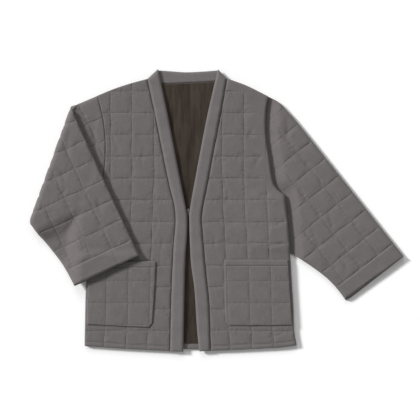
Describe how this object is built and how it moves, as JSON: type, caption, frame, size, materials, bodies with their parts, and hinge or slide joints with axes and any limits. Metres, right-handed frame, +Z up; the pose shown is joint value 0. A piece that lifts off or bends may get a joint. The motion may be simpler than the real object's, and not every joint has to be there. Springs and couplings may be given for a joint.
{
  "type": "hanten jacket",
  "caption": "Quilted open-front jacket with collar bands, patch pockets and wide sleeves, laid flat with one sleeve folded over the front.",
  "frame": {"origin": "middle of the whole lay, on the surface that the jacket lies on", "axes": "+X from the folded right sleeve towards the spread left sleeve, +Y from the hem towards the neck, +Z up from the surface"},
  "size_m": [1.0052, 0.76, 0.0364],
  "materials": {
    "cloth": "matte woven cotton, warm grey",
    "lining": "short-pile plush, dark brown"
  },
  "bodies": {
    "root": {"back_panel": "cloth", "back_lining": "lining", "front_right": "cloth", "front_left": "cloth", "collar_band_right": "cloth", "collar_band_left": "cloth", "collar_band_back": "cloth", "closing_loop": "cloth", "pocket_right": "cloth", "pocket_left": "cloth", "sleeve_right": "cloth", "sleeve_left": "cloth"}
  },
  "joints": []
}
